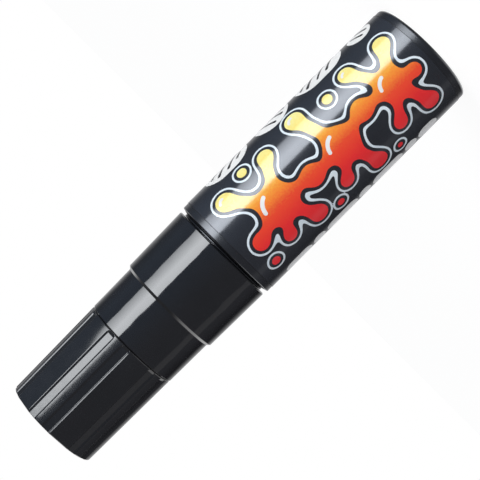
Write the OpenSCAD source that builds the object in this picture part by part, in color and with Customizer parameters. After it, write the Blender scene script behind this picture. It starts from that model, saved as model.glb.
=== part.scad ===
// Broad-tip paint marker with a pump valve.
// It stands on the closed end of its bottle: the axis is Z, the base is at z = 0 and the cap is on top.
// Sizes are millimetres. The photographed side faces -Y.

/* [Bottle] */
// Outside diameter of the bottle
barrel_d = 33.8; // [31:0.1:38]
// Height of the bottle from its base to its shoulder
barrel_len = 79.7; // [60:0.1:110]
// Wall of the bottle
barrel_wall = 1.5; // [1:0.1:2.2]
// Thickness of the base
base_t = 2.2; // [1.6:0.1:4]
// Radius of the rounded base edge
base_round = 1; // [0.5:0.1:3]
// Depth of the hollow under the base
base_hollow = 0.6; // [0.2:0.1:1]
// Width of the flat ring that the bottle stands on
foot_w = 3; // [2:0.1:5]
// Chamfer on the shoulder edge
shoulder_chamfer = 0.15; // [0.1:0.05:0.8]
// Width of the shoulder, from the bottle's side to its neck
shoulder_w = 3.45; // [2.9:0.05:4.2]
// Rise of the sloped shoulder up to the bead at the foot of the neck
shoulder_rise = 0.6; // [0.2:0.1:1.2]

/* [Bottle neck] */
// Height of the neck above the shoulder
neck_len = 12.3; // [10:0.1:15]
// Wall of the neck
neck_wall = 1.9; // [1.4:0.1:2.4]
// How far the bead at the foot of the neck stands out
neck_bead_out = 1.65; // [0.5:0.05:2.2]
// Height of that bead
neck_bead_h = 0.6; // [0.3:0.1:1.4]
// Height of the slope between the bottle's side and the neck bore, inside
inner_slope_h = 3; // [1.5:0.1:6]

/* [Label] */
// Thickness of the printed film
label_t = 0.1; // [0.05:0.01:0.3]
// Bare strip between the film and the shoulder
label_top_margin = 2; // [1:0.1:6]
// Bare strip between the film and the rounded base edge
label_base_margin = 1.6; // [0.1:0.1:6]

/* [Mixing balls] */
// Diameter of a mixing ball
ball_d = 8; // [5:0.5:9]
// Distance of a ball from the axis
ball_out = 5.5; // [5:0.1:6]

/* [Front section] */
// Length of the threaded skirt
skirt_len = 21.8; // [17:0.1:26]
// Wall of the skirt at its front end
skirt_wall = 1.85; // [1.2:0.05:2.4]
// Draft of the skirt, in degrees on each side
skirt_draft = 1; // [0:0.1:1.5]
// Radius of the edge between the skirt and the sloped step to the nose
skirt_round = 0.25; // [0.1:0.05:0.4]
// Chamfer at the skirt's rear edge
skirt_chamfer = 0.3; // [0.1:0.1:0.6]
// Length of the narrower nose
nose_len = 14.8; // [12:0.1:22]
// Draft of the nose, in degrees on each side
nose_draft = 0.72; // [0:0.02:1.5]
// How far the nose stands out past the rim of the cap
nose_step = 0.1; // [0:0.05:0.4]
// Chamfers of the joint line between nose and cap
joint_chamfer = 0.25; // [0.1:0.05:0.6]
// Thickness of the web between the valve and the nib holder
web_t = 1.8; // [1.2:0.1:2.6]
// Diameter of the flow hole in the web
web_hole_d = 15; // [10:0.5:18]
// Length of the spigot that carries the cap
spigot_len = 10; // [8:0.5:12]
// Wall of the spigot
spigot_wall = 2; // [1.4:0.1:2.6]
// Height of the snap bead on the spigot
bead_h = 0.3; // [0.1:0.05:0.5]
// Distance of the snap bead below the end of the spigot
bead_below = 2.6; // [1.5:0.1:4]

/* [Nib] */
// Width of the chisel nib
nib_w = 15; // [10:0.5:16]
// Thickness of the nib
nib_t = 9; // [6:0.5:10]
// How far the nib stands out of its holder
nib_out = 10; // [6:0.5:11]
// Slope of the chisel end, in degrees
nib_slope = 32; // [0:1:40]
// Radius of the nib's long edges
nib_round = 0.8; // [0.3:0.1:1.5]
// Wall of the nib holder at the corners of its slot
holder_wall = 1.6; // [1.2:0.1:2]
// Width of the holder's flange on the end of the spigot
holder_flange_w = 1.3; // [0.6:0.1:1.6]
// Thickness of that flange
holder_flange_t = 1.2; // [0.8:0.1:1.8]
// Length of the holder's nose in front of its flange
holder_nose_len = 2.6; // [1.5:0.1:4]
// How much the holder's nose is narrower than its shank, on each side
holder_nose_in = 0.5; // [0.2:0.1:0.8]
// Travel of the nib when it is pressed
nib_travel = 2.5; // [1:0.1:3]

/* [Cap] */
// Length of the cap
cap_len = 32.2; // [30:0.1:40]
// Wall of the cap behind its channels, at the rim
cap_wall = 1.9; // [1.4:0.05:2.4]
// Draft of the cap, in degrees on each side
cap_draft = 0.74; // [0:0.02:1]
// Thickness of the closed end
cap_top_t = 1.8; // [1.2:0.1:3]
// Radius of the edge of the closed end
cap_round = 0.4; // [0.2:0.1:1]
// Pairs of grip channels round the cap
channel_pairs = 6; // [3:1:7]
// Depth of a grip channel
channel_depth = 0.3; // [0.2:0.05:0.6]
// Width of a channel's flat floor
channel_floor_w = 2.1; // [1:0.1:2.4]
// Width of a channel's sloped side
channel_side_w = 0.5; // [0.3:0.1:0.8]
// Angle between the two channels of a pair, in degrees
channel_spread = 22.5; // [18:0.5:25]
// Plain band between the rim and the channel ends
channel_stop = 0.1; // [0.1:0.1:4]
// Length of the ramp at the rim end of a channel
channel_ramp = 0.8; // [0.3:0.1:2]
// Thickness of the soft liner's disc
liner_disc_t = 1.2; // [0.8:0.1:2]
// Wall of the liner's tube
liner_wall = 1.1; // [0.8:0.1:1.4]

/* [Valve] */
// Diameter of the valve head
head_d = 10.8; // [9:0.2:11.4]
// Thickness of the valve head
head_t = 1.6; // [1:0.1:2.2]
// Diameter of the stem between the head and the nib
stem_d = 3.8; // [3:0.1:4.4]
// Diameter of the guide pin below the head
pin_d = 3; // [2:0.1:3.4]
// Gap round the head that the paint flows through
flow_gap = 2; // [1:0.1:2.2]
// Wall of the spring cage
cage_wall = 1.1; // [0.8:0.1:1.4]
// Length of the cage
cage_len = 12; // [11:0.1:12.4]
// Thickness of the cage floor
cage_floor_t = 1.6; // [1.2:0.1:2.4]
// Windows round the cage
cage_windows = 6; // [3:1:8]
// Width of a cage window
window_w = 3; // [1.5:0.1:4]
// Wall of the valve body
valve_wall = 1.9; // [1.4:0.1:2]
// Length of the valve body
valve_len = 10; // [9.5:0.1:11]
// Thickness of the valve body's plate
plate_t = 1.8; // [1.5:0.1:2.4]
// Thickness of the seal ring
seal_t = 1.8; // [1.2:0.1:2.2]
// Depth of the seal ring's seat in the plate
seal_seat = 0.6; // [0.3:0.1:0.9]
// Width of the seal ring
seal_w = 3; // [2.4:0.1:3.4]
// Thickness of the gasket on the bottle's neck
gasket_t = 1.2; // [0.8:0.1:2]

/* [Spring] */
// Turns of the valve spring
spring_turns = 6; // [4:0.5:8]
// Diameter of the spring wire
wire_d = 0.7; // [0.5:0.05:0.8]
// How far the spring's mean line lies inside the head's edge
spring_in = 1.8; // [1.4:0.1:2]

/* [Fits] */
// Radial gap of parts that are pressed together
fit_gap = 0.02; // [0.01:0.01:0.05]
// Radial gap between the cap and the snap bead
cap_gap = 0.08; // [0.04:0.01:0.2]
// Gap between the rim of the cap and the nose
rim_gap = 0.1; // [0.02:0.02:0.3]
// Gap round the nib in its holder
nib_gap = 0.15; // [0.05:0.05:0.3]
// Radial gap between the liner and the holder's nose
liner_gap = 0.08; // [0.04:0.01:0.2]
// Gap between the bead at the foot of the neck and the skirt
bead_gap = 0.1; // [0.1:0.1:1]
// Radial room for the screw thread between neck and skirt
thread_room = 0.92; // [0.7:0.02:1.2]
// Radial gap between the guide pin and the cage floor
pin_gap = 0.1; // [0.05:0.01:0.2]
// Radial gap between the stem and the plate
stem_gap = 1.5; // [0.8:0.1:1.8]
// Gap between the liner's lip and the holder's flange
lip_gap = 0.5; // [0.3:0.1:1]
// Gap between the nib and the web when the nib is fully pressed
web_gap = 0.5; // [0.3:0.1:1]
// Gap at each end of the spring
spring_gap = 0.04; // [0.02:0.01:0.1]
// Gap under a resting mixing ball
ball_gap = 0.05; // [0.02:0.01:0.1]
// Gap between the gasket and the edges of the neck's end face
gasket_inset = 0.15; // [0.1:0.05:0.3]
// Room between the skirt's shoulder and the valve body
valve_inset = 0.8; // [0.4:0.1:1.4]

/* [Output] */
// Piece to draw, or all of them

/* [Hidden] */
$fn = 96;
// Overshoot of a cutting shape
over = 1;
// Steps of a rounded edge
arc_steps = 12;

// Radii, from the nib outwards to the cap
slot_w = nib_w + 2 * nib_gap;
slot_t = nib_t + 2 * nib_gap;
holder_r = norm([slot_w, slot_t]) / 2 + holder_wall;
holder_nose_r = holder_r - holder_nose_in;
holder_flange_r = holder_r + holder_flange_w;
holder_bore_r = holder_r + fit_gap;
spigot_r = holder_bore_r + spigot_wall;
bead_r = spigot_r + bead_h;
cap_bore_r = bead_r + cap_gap;
cap_r = cap_bore_r + cap_wall + channel_depth;
cap_end_r = cap_r - cap_len * tan(cap_draft);
liner_in_r = holder_nose_r + liner_gap;
liner_r = liner_in_r + liner_wall;
liner_disc_r = cap_bore_r - fit_gap;
nose_front_r = cap_r + nose_step;
nose_rear_r = nose_front_r + nose_len * tan(nose_draft);

// Radii of the bottle and the skirt
barrel_r = barrel_d / 2;
barrel_in_r = barrel_r - barrel_wall;
neck_r = barrel_r - shoulder_w;
neck_bore_r = neck_r - neck_wall;
neck_bead_r = neck_bead_h / 2;
neck_bead_at = neck_r + neck_bead_out - neck_bead_r;
label_in_r = barrel_r + fit_gap;
skirt_bore_r = neck_r + thread_room;
skirt_front_r = skirt_bore_r + skirt_wall;
skirt_rear_r = skirt_front_r + skirt_len * tan(skirt_draft);
gasket_in_r = neck_bore_r + gasket_inset;
gasket_r = neck_r - gasket_inset;

// Radii of the valve
head_r = head_d / 2;
stem_r = stem_d / 2;
pin_r = pin_d / 2;
cage_in_r = head_r + flow_gap;
cage_r = cage_in_r + cage_wall;
valve_in_r = cage_r + fit_gap;
valve_r = valve_in_r + valve_wall;
valve_bore_r = valve_r + fit_gap;
plate_hole_r = stem_r + stem_gap;
seal_in_r = plate_hole_r + fit_gap;
seal_r = seal_in_r + seal_w;
wire_r = wire_d / 2;
spring_r = head_r - spring_in;

// Heights, from the base upwards
neck_z = barrel_len;
neck_bead_z = neck_z + shoulder_rise + neck_bead_r;
neck_bead_top_z = neck_bead_z + neck_bead_r;
neck_top_z = neck_z + neck_len;
seat_z = neck_top_z + gasket_t;
skirt_z = neck_bead_top_z + bead_gap;
nose_z = skirt_z + skirt_len;
step_z = nose_z - (skirt_front_r - skirt_round - nose_rear_r) - 2 * skirt_round * sin(45);
spigot_z = nose_z + nose_len;
spigot_top_z = spigot_z + spigot_len;
valve_z = seat_z + valve_inset;
web_z = valve_z + valve_len;
holder_z = web_z + web_t;
holder_nose_z = spigot_top_z + holder_flange_t;
holder_top_z = holder_nose_z + holder_nose_len;
nib_z = holder_z + nib_travel + web_gap;
nib_top_z = holder_top_z + nib_out;
cap_z = spigot_z + rim_gap;
cap_top_z = cap_z + cap_len;
liner_top_z = cap_top_z - cap_top_t;
lip_z = holder_nose_z + lip_gap;
seal_z = web_z - plate_t + seal_seat - seal_t;
head_z = seal_z - head_t;
cage_top_z = head_z - fit_gap - nib_travel + head_t;
cage_z = cage_top_z - cage_len;
cage_floor_z = cage_z + cage_floor_t;
pin_z = cage_z + cage_floor_t / 3;
window_z = cage_floor_z;
window_h = valve_z - window_z - cage_wall;
label_z = base_round + label_base_margin;
label_h = barrel_len - label_top_margin - label_z;
ball_r = ball_d / 2;
ball_z = base_t + ball_gap + ball_r;

// Grip channels
channel_step = 360 / channel_pairs;
channel_first = -77.8;
channel_reach = 2;

// Spring tube
spring_rings = 8;
spring_sides = 6;
spring_low_z = cage_floor_z + wire_r + spring_gap;
spring_high_z = head_z - wire_r - spring_gap;
spring_steps = floor(spring_turns * spring_rings);

function arc(cx, cy, r, from, to) = [for (i = [0:arc_steps])
    let (a = from + (to - from) * i / arc_steps) [cx + r * cos(a), cy + r * sin(a)]];

// Ring between two radii
module ring(inner, outer, z, h) {
    translate([0, 0, z])
        difference() {
            cylinder(r = outer, h = h);
            translate([0, 0, -over])
                cylinder(r = inner, h = h + 2 * over);
        }
}

// Bottle: closed base, straight side, sloped shoulder and a neck with a bead at its foot
module barrel() {
    foot_r = barrel_r - base_round - foot_w;
    slope_z = barrel_len - barrel_wall - inner_slope_h;
    color([0.05, 0.05, 0.06])
        rotate_extrude()
            polygon(concat(
                [[0, base_hollow], [foot_r - base_hollow, base_hollow], [foot_r, 0]],
                arc(barrel_r - base_round, base_round, base_round, -90, 0),
                [[barrel_r, neck_z - shoulder_chamfer],
                [barrel_r - shoulder_chamfer, neck_z]],
                arc(neck_bead_at, neck_bead_z, neck_bead_r, -90, 90),
                [[neck_r, neck_bead_top_z],
                [neck_r, neck_top_z],
                [neck_bore_r, neck_top_z],
                [neck_bore_r, slope_z + inner_slope_h],
                [barrel_in_r, slope_z]],
                arc(barrel_in_r - base_round, base_t + base_round, base_round, 0, -90),
                [[0, base_t]]));
}

// Printed film wrapped round the straight side of the bottle
module label_sleeve() {
    color([0.08, 0.08, 0.1])
        ring(label_in_r, label_in_r + label_t, label_z, label_h);
}

module mixing_ball(side) {
    color([0.75, 0.76, 0.78])
        translate([side * ball_out, 0, ball_z])
            sphere(r = ball_r);
}

module mixing_ball_1() {
    mixing_ball(-1);
}

module mixing_ball_2() {
    mixing_ball(1);
}

// Flat gasket that the front section clamps on the end of the neck
module neck_gasket() {
    color([0.8, 0.8, 0.78])
        ring(gasket_in_r, gasket_r, neck_top_z, gasket_t);
}

// Threaded skirt, nose and cap spigot in one moulding
module front_section() {
    color([0.06, 0.06, 0.07])
        rotate_extrude()
            polygon(concat(
                [[skirt_bore_r, skirt_z],
                [skirt_rear_r - skirt_chamfer, skirt_z],
                [skirt_rear_r, skirt_z + skirt_chamfer]],
                arc(skirt_front_r - skirt_round, step_z, skirt_round, 0, 45),
                [[nose_rear_r, nose_z],
                [nose_front_r, spigot_z - joint_chamfer],
                [nose_front_r - joint_chamfer, spigot_z],
                [spigot_r, spigot_z],
                [spigot_r, spigot_top_z - bead_below - 2 * bead_h],
                [bead_r, spigot_top_z - bead_below - bead_h],
                [bead_r, spigot_top_z - bead_below + bead_h],
                [spigot_r, spigot_top_z - bead_below + 2 * bead_h],
                [spigot_r, spigot_top_z - bead_h],
                [spigot_r - bead_h, spigot_top_z],
                [holder_bore_r, spigot_top_z],
                [holder_bore_r, holder_z],
                [web_hole_d / 2, holder_z],
                [web_hole_d / 2, web_z],
                [valve_bore_r, web_z],
                [valve_bore_r, seat_z],
                [skirt_bore_r, seat_z]]));
}

// Insert that guides the nib through a rectangular slot
module nib_holder() {
    color([0.16, 0.16, 0.17])
        difference() {
            union() {
                translate([0, 0, holder_z])
                    cylinder(r = holder_r, h = holder_nose_z - holder_z);
                translate([0, 0, spigot_top_z])
                    cylinder(r = holder_flange_r, h = holder_flange_t);
                translate([0, 0, holder_nose_z])
                    cylinder(r = holder_nose_r, h = holder_nose_len);
            }
            translate([-slot_w / 2, -slot_t / 2, holder_z - over])
                cube([slot_w, slot_t, holder_top_z - holder_z + 2 * over]);
        }
}

// Felt block with a chisel end
module nib() {
    half_w = nib_w / 2;
    half_t = nib_t / 2;
    drop = nib_t * tan(nib_slope);
    color([0.93, 0.91, 0.86])
        intersection() {
            translate([0, 0, nib_z])
                linear_extrude(height = nib_top_z - nib_z)
                    polygon(concat(
                        arc(half_w - nib_round, half_t - nib_round, nib_round, 0, 90),
                        arc(nib_round - half_w, half_t - nib_round, nib_round, 90, 180),
                        arc(nib_round - half_w, nib_round - half_t, nib_round, 180, 270),
                        arc(half_w - nib_round, nib_round - half_t, nib_round, 270, 360)));
            translate([half_w + over, 0, 0])
                rotate([90, 0, -90])
                    linear_extrude(height = nib_w + 2 * over)
                        polygon([[-half_t - over, nib_z - over], [half_t + over, nib_z - over],
                            [half_t + over, nib_top_z], [half_t - nib_round, nib_top_z],
                            [-half_t, nib_top_z - drop], [-half_t - over, nib_top_z - drop]]);
        }
}

// Cup that holds the seal; it is pressed into the front section
module valve_body() {
    color([0.86, 0.85, 0.8])
        rotate_extrude()
            polygon([[valve_in_r, valve_z], [valve_r, valve_z], [valve_r, web_z],
                [plate_hole_r, web_z], [plate_hole_r, web_z - plate_t + seal_seat],
                [seal_r + fit_gap, web_z - plate_t + seal_seat],
                [seal_r + fit_gap, web_z - plate_t], [valve_in_r, web_z - plate_t]]);
}

// Cup with windows that carries the spring; it is pressed into the valve body
module valve_cage() {
    color([0.86, 0.85, 0.8])
        difference() {
            translate([0, 0, cage_z])
                cylinder(r = cage_r, h = cage_len);
            translate([0, 0, cage_floor_z])
                cylinder(r = cage_in_r, h = cage_len);
            translate([0, 0, cage_z - over])
                cylinder(r = pin_r + pin_gap, h = cage_floor_t + 2 * over);
            for (i = [0:cage_windows - 1])
                rotate(i * 360 / cage_windows)
                    translate([cage_in_r - cage_wall, -window_w / 2, window_z])
                        cube([cage_wall * 3, window_w, window_h]);
        }
}

// Soft ring that the valve head closes against
module valve_seal() {
    color([0.13, 0.13, 0.13])
        ring(seal_in_r, seal_r, seal_z, seal_t);
}

// Valve head with the stem that the nib pushes and a guide pin
module valve_stem() {
    boss_r = spring_r - 3 * wire_r;
    color([0.9, 0.9, 0.88])
        rotate_extrude()
            polygon([[0, pin_z], [pin_r, pin_z], [pin_r, head_z - head_t],
                [boss_r, head_z - head_t], [boss_r, head_z], [head_r, head_z],
                [head_r, seal_z], [stem_r, seal_z], [stem_r, nib_z], [0, nib_z]]);
}

// Compression spring: one tube swept along a helix
module valve_spring() {
    rise = spring_high_z - spring_low_z;
    function mean(i) = [spring_r * cos(360 * i / spring_rings),
        spring_r * sin(360 * i / spring_rings), spring_low_z + rise * i / spring_steps];
    function rim(i, k) = let (m = mean(i), a = 360 * i / spring_rings, b = 360 * k / spring_sides)
        m + wire_r * [cos(b) * cos(a), cos(b) * sin(a), sin(b)];
    points = [for (i = [0:spring_steps]) for (k = [0:spring_sides - 1]) rim(i, k)];
    sides = [for (i = [0:spring_steps - 1]) for (k = [0:spring_sides - 1])
        let (n = (k + 1) % spring_sides, p = i * spring_sides, q = p + spring_sides)
            [p + k, q + k, q + n, p + n]];
    low = [for (k = [0:spring_sides - 1]) k];
    high = [for (k = [0:spring_sides - 1]) spring_steps * spring_sides + spring_sides - 1 - k];
    echo(spring_self_gap = min([for (i = [0:spring_steps - spring_rings])
        norm(mean(i + spring_rings) - mean(i)) - wire_d]));
    color([0.72, 0.73, 0.75])
        polyhedron(points = points, faces = concat(sides, [low, high]), convexity = 10);
}

// Cutting shape of one grip channel: flat floor, sloped sides and a ramp at the rim end
module channel() {
    floor_z = channel_stop + channel_ramp;
    half = channel_floor_w / 2;
    side_reach = channel_reach * channel_side_w / channel_depth;
    ramp_reach = channel_reach * channel_ramp / channel_depth;
    translate([cap_r - channel_depth, 0, cap_z])
        rotate([0, -cap_draft, 0])
            intersection() {
                linear_extrude(height = cap_len + over)
                    polygon([[0, -half], [channel_reach, -half - side_reach],
                        [channel_reach, half + side_reach], [0, half]]);
                rotate([90, 0, 0])
                    linear_extrude(height = 2 * (half + side_reach + over), center = true)
                        polygon([[-over, floor_z], [0, floor_z],
                            [channel_reach, floor_z - ramp_reach],
                            [channel_reach, cap_len + over], [-over, cap_len + over]]);
            }
}

// Push-on cap with pairs of grip channels
module cap() {
    round_r = cap_end_r - cap_round;
    color([0.06, 0.06, 0.065])
        difference() {
            rotate_extrude()
                polygon(concat(
                    [[cap_bore_r + joint_chamfer, cap_z], [cap_r - joint_chamfer, cap_z],
                    [cap_r, cap_z + joint_chamfer]],
                    arc(round_r, cap_top_z - cap_round, cap_round, 0, 90),
                    [[0, cap_top_z], [0, liner_top_z], [cap_bore_r, liner_top_z],
                    [cap_bore_r, cap_z + joint_chamfer]]));
            for (i = [0:channel_pairs - 1])
                for (side = [-1, 1])
                    rotate(channel_first + i * channel_step + side * channel_spread / 2)
                        channel();
        }
}

// Soft inner cap that closes on the holder's nose
module cap_liner() {
    color([0.88, 0.88, 0.85])
        rotate_extrude()
            polygon([[liner_in_r, lip_z], [liner_r, lip_z],
                [liner_r, liner_top_z - liner_disc_t], [liner_disc_r, liner_top_z - liner_disc_t],
                [liner_disc_r, liner_top_z], [0, liner_top_z],
                [0, liner_top_z - liner_disc_t], [liner_in_r, liner_top_z - liner_disc_t]]);
}

barrel();
label_sleeve();
mixing_ball_1();
mixing_ball_2();
neck_gasket();
front_section();
nib_holder();
nib();
valve_body();
valve_cage();
valve_seal();
valve_stem();
valve_spring();
cap();
cap_liner();
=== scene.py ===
"""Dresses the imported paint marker: materials, printed film, screw thread, felt nib, spring, light and camera."""
import math
import bmesh
import bpy
from mathutils import Matrix, Vector


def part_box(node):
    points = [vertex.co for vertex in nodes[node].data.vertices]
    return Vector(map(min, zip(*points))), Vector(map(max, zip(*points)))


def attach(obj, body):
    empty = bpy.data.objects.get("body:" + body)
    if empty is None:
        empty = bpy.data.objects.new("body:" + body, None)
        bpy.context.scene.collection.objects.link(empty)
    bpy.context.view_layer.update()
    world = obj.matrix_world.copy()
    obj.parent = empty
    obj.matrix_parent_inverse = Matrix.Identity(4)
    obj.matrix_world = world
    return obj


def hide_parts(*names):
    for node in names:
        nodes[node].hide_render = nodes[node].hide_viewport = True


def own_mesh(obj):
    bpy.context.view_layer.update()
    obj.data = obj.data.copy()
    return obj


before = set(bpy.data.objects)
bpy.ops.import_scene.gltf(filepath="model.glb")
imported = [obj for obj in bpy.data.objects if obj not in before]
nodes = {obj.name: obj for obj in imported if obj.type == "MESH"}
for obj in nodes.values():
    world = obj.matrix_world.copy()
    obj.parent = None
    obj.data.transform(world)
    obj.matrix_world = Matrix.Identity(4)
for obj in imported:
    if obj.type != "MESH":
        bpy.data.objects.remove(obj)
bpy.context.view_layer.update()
MM = 0.001
SHARP_ANGLE = math.radians(32)


# Pieces

def add_mesh(name, points_mm, faces, material, body):
    """Makes a closed mesh from points in millimetres and lets it ride on a body."""
    mesh = bpy.data.meshes.new(name)
    mesh.from_pydata([[c * MM for c in p] for p in points_mm], [], faces)
    bm = bmesh.new()
    bm.from_mesh(mesh)
    bmesh.ops.recalc_face_normals(bm, faces=bm.faces)
    for face in bm.faces:
        face.smooth = True
    for edge in bm.edges:
        edge.smooth = len(edge.link_faces) == 2 and edge.calc_face_angle(0.0) < SHARP_ANGLE
    bm.to_mesh(mesh)
    bm.free()
    obj = bpy.data.objects.new(name, mesh)
    bpy.context.scene.collection.objects.link(obj)
    mesh.materials.append(material)
    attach(obj, body)
    return obj


def loft(rows, closed_ends=True):
    """Joins rings of equal point counts into points and faces; the end rings are capped."""
    count = len(rows[0])
    points = [p for row in rows for p in row]
    faces = []
    for i in range(len(rows) - 1):
        for k in range(count):
            n = (k + 1) % count
            faces.append((i * count + k, i * count + n, (i + 1) * count + n, (i + 1) * count + k))
    if closed_ends:
        faces.append(tuple(range(count)))
        faces.append(tuple((len(rows) - 1) * count + k for k in reversed(range(count))))
    return points, faces


def polar(r, a, z):
    """Point at a radius, an angle round the axis and a height."""
    return (r * math.cos(a), r * math.sin(a), z)


def clamp(value):
    """Value held between 0 and 1."""
    return min(1.0, max(0.0, value))


def smooth_min(a, b, k):
    """Smaller of two values, with the corner between them rounded over k."""
    h = max(k - abs(a - b), 0.0) / k
    return min(a, b) - h * h * k * 0.25


def smooth_max(a, b, k):
    """Larger of two values, with the corner between them rounded over k."""
    return -smooth_min(-a, -b, k)


# Materials

NOISE_MIDDLE = (0.3, 0.7)
TINT_PLACES = (0.35, 0.65)
MOTTLE_SCALE = 90.0
GLOSS_SCALE = 360.0
INK_MOTTLE_SCALE = 220.0
INK_GLOSS_SCALE = 400.0
HAZE_WEIGHT = 0.15
HAZE_ROUGH = 0.45
STEEL_DARK, STEEL_LIGHT = (0.52, 0.53, 0.55), (0.62, 0.63, 0.65)
FELT_DARK, FELT_LIGHT = (0.66, 0.63, 0.56), (0.86, 0.84, 0.78)
FIBRE_STRETCH = (1.0, 1.0, 0.22)
FIBRE_SCALE, FIBRE_HEIGHT = 5200.0, 0.00012
TUFT_SCALE, TUFT_HEIGHT = 900.0, 0.00008


def new_material(name):
    """Material with its node tree and its shader."""
    material = bpy.data.materials.new(name)
    material.use_nodes = True
    tree = material.node_tree
    return material, tree, tree.nodes["Principled BSDF"]


def object_coords(tree):
    """Coordinates that stay with a piece when it moves."""
    return tree.nodes.new("ShaderNodeTexCoord").outputs["Object"]


def noise(tree, coords, scale, detail=2.0, rough=0.5):
    """Noise over coordinates in metres."""
    node = tree.nodes.new("ShaderNodeTexNoise")
    node.inputs["Scale"].default_value = scale
    node.inputs["Detail"].default_value = detail
    node.inputs["Roughness"].default_value = rough
    tree.links.new(coords, node.inputs["Vector"])
    return node.outputs["Fac"]


def spread(tree, value, low, high):
    """Maps the middle of a noise onto low to high."""
    node = tree.nodes.new("ShaderNodeMapRange")
    node.inputs["From Min"].default_value = NOISE_MIDDLE[0]
    node.inputs["From Max"].default_value = NOISE_MIDDLE[1]
    node.inputs["To Min"].default_value = low
    node.inputs["To Max"].default_value = high
    tree.links.new(value, node.inputs["Value"])
    return node.outputs["Result"]


def bump(tree, height, distance, before=None):
    """Normal bumped by a height over a distance in metres, on top of an earlier bump if there is one."""
    node = tree.nodes.new("ShaderNodeBump")
    node.inputs["Strength"].default_value = 1.0
    node.inputs["Distance"].default_value = distance
    tree.links.new(height, node.inputs["Height"])
    if before:
        tree.links.new(before, node.inputs["Normal"])
    return node.outputs["Normal"]


def set_stops(color_ramp, stops):
    """Gives a colour ramp its (place, colour) stops."""
    color_ramp.elements[0].position, color_ramp.elements[0].color = stops[0][0], (*stops[0][1], 1)
    color_ramp.elements[1].position, color_ramp.elements[1].color = stops[-1][0], (*stops[-1][1], 1)
    for position, colour in stops[1:-1]:
        color_ramp.elements.new(position).color = (*colour, 1)


def tint(tree, value, dark, light):
    """Two close colours mixed by a noise."""
    node = tree.nodes.new("ShaderNodeValToRGB")
    set_stops(node.color_ramp, list(zip(TINT_PLACES, (dark, light))))
    tree.links.new(value, node.inputs["Fac"])
    return node.outputs["Color"]


def haze(shader):
    """Broad faint gloss of a satin film over its own gloss."""
    shader.inputs["Coat Weight"].default_value = HAZE_WEIGHT
    shader.inputs["Coat Roughness"].default_value = HAZE_ROUGH


def moulded(name, dark, light, rough, specular, grain=None, wave=None, gloss_tint=(1, 1, 1)):
    """Moulded plastic with a slight mottle, uneven gloss, fine grain and soft sink waves.

    grain and wave are (scale, height in metres).
    """
    material, tree, shader = new_material(name)
    coords = object_coords(tree)
    cloud = noise(tree, coords, MOTTLE_SCALE, 3.0)
    tree.links.new(tint(tree, cloud, dark, light), shader.inputs["Base Color"])
    tree.links.new(spread(tree, noise(tree, coords, GLOSS_SCALE, 4.0), *rough), shader.inputs["Roughness"])
    shader.inputs["Specular IOR Level"].default_value = specular
    shader.inputs["Specular Tint"].default_value = (*gloss_tint, 1)
    normal = None
    if wave:
        normal = bump(tree, noise(tree, coords, wave[0], 1.0), wave[1])
    if grain:
        normal = bump(tree, noise(tree, coords, grain[0], 3.0, 0.6), grain[1], normal)
    if normal:
        tree.links.new(normal, shader.inputs["Normal"])
    return material


def inked(name):
    """Ink on the film with the film's own gloss; its colour is still to be linked."""
    material, tree, shader = new_material(name)
    coords = object_coords(tree)
    gloss = noise(tree, coords, INK_GLOSS_SCALE, 3.0)
    tree.links.new(spread(tree, gloss, *FILM_ROUGH), shader.inputs["Roughness"])
    ripple = noise(tree, coords, FILM_WAVE[0], 1.0)
    tree.links.new(bump(tree, ripple, FILM_WAVE[1]), shader.inputs["Normal"])
    shader.inputs["Specular IOR Level"].default_value = FILM_SPECULAR
    shader.inputs["Specular Tint"].default_value = (*FILM_TINT, 1)
    haze(shader)
    return material, tree, shader, coords


def steel(name, rough, scale, height):
    """Worn steel with fine marks."""
    material, tree, shader = new_material(name)
    cloud = noise(tree, object_coords(tree), scale, 4.0)
    tree.links.new(tint(tree, cloud, STEEL_DARK, STEEL_LIGHT), shader.inputs["Base Color"])
    tree.links.new(spread(tree, cloud, *rough), shader.inputs["Roughness"])
    tree.links.new(bump(tree, cloud, height), shader.inputs["Normal"])
    shader.inputs["Metallic"].default_value = 1.0
    return material


def felt(name):
    """Pressed fibre: pale fibres of uneven tone with a fuzzy surface."""
    material, tree, shader = new_material(name)
    coords = object_coords(tree)
    stretch = tree.nodes.new("ShaderNodeMapping")
    stretch.inputs["Scale"].default_value = FIBRE_STRETCH
    tree.links.new(coords, stretch.inputs["Vector"])
    fibre = noise(tree, stretch.outputs["Vector"], FIBRE_SCALE, 5.0, 0.65)
    tuft = noise(tree, coords, TUFT_SCALE, 3.0)
    tree.links.new(tint(tree, fibre, FELT_DARK, FELT_LIGHT), shader.inputs["Base Color"])
    normal = bump(tree, fibre, FIBRE_HEIGHT)
    tree.links.new(bump(tree, tuft, TUFT_HEIGHT, normal), shader.inputs["Normal"])
    shader.inputs["Roughness"].default_value = 0.95
    shader.inputs["Specular IOR Level"].default_value = 0.15
    shader.inputs["Sheen Weight"].default_value = 0.35
    shader.inputs["Sheen Roughness"].default_value = 0.6
    return material


BLACK_DARK = (0.0045, 0.0048, 0.0055)
BLACK_LIGHT = (0.0058, 0.006, 0.007)
FILM_DARK = (0.0105, 0.0118, 0.015)
FILM_LIGHT = (0.013, 0.0145, 0.0185)
FILM_WAVE = (70.0, 0.00004)
FILM_ROUGH = (0.12, 0.17)
FILM_SPECULAR = 0.8
FILM_TINT = (0.9, 0.935, 1.0)

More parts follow.
